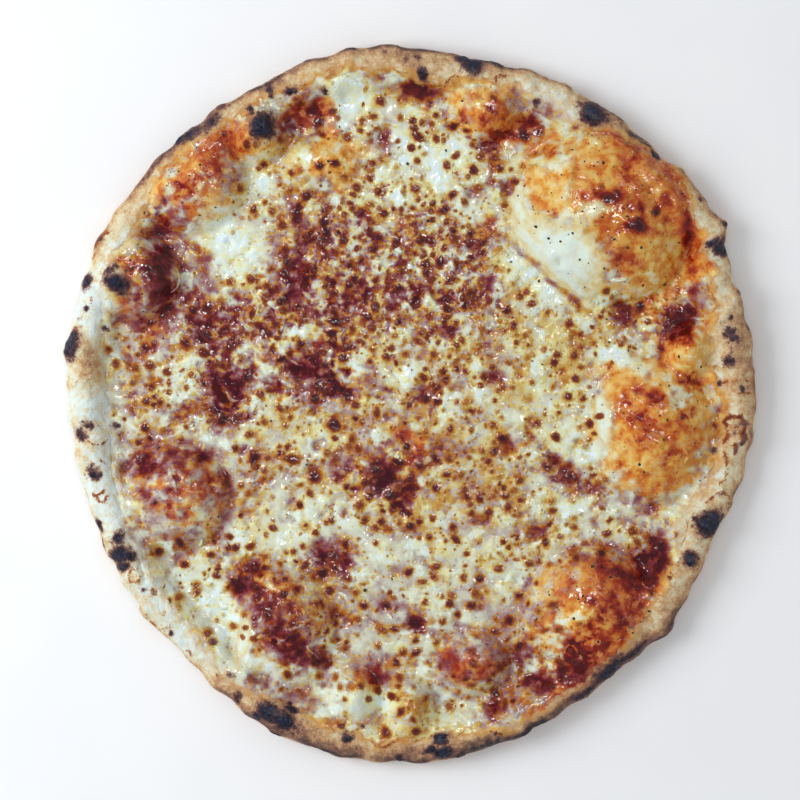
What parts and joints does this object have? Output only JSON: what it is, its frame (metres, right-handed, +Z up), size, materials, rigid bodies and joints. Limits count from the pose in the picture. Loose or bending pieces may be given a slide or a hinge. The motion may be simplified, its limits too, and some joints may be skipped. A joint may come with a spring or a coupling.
{
  "type": "margherita pizza",
  "caption": "Round flat pizza with a raised, bubbled and charred rim, tomato sauce and browned melted mozzarella.",
  "frame": {"origin": "middle of the flat underside, on the table", "axes": "+Z up from the table through the toppings; +Y towards the edge that is at the top when seen from above"},
  "size_m": [0.3122, 0.3244, 0.0295],
  "materials": {
    "crust": "baked wheat dough, pale with browned and charred blisters, matt",
    "sauce": "cooked tomato sauce, wet and oily",
    "cheese": "melted mozzarella with browned spots, slightly oily"
  },
  "bodies": {
    "root": {"crust": "crust", "tomato_sauce": "sauce", "mozzarella": "cheese"}
  },
  "joints": []
}
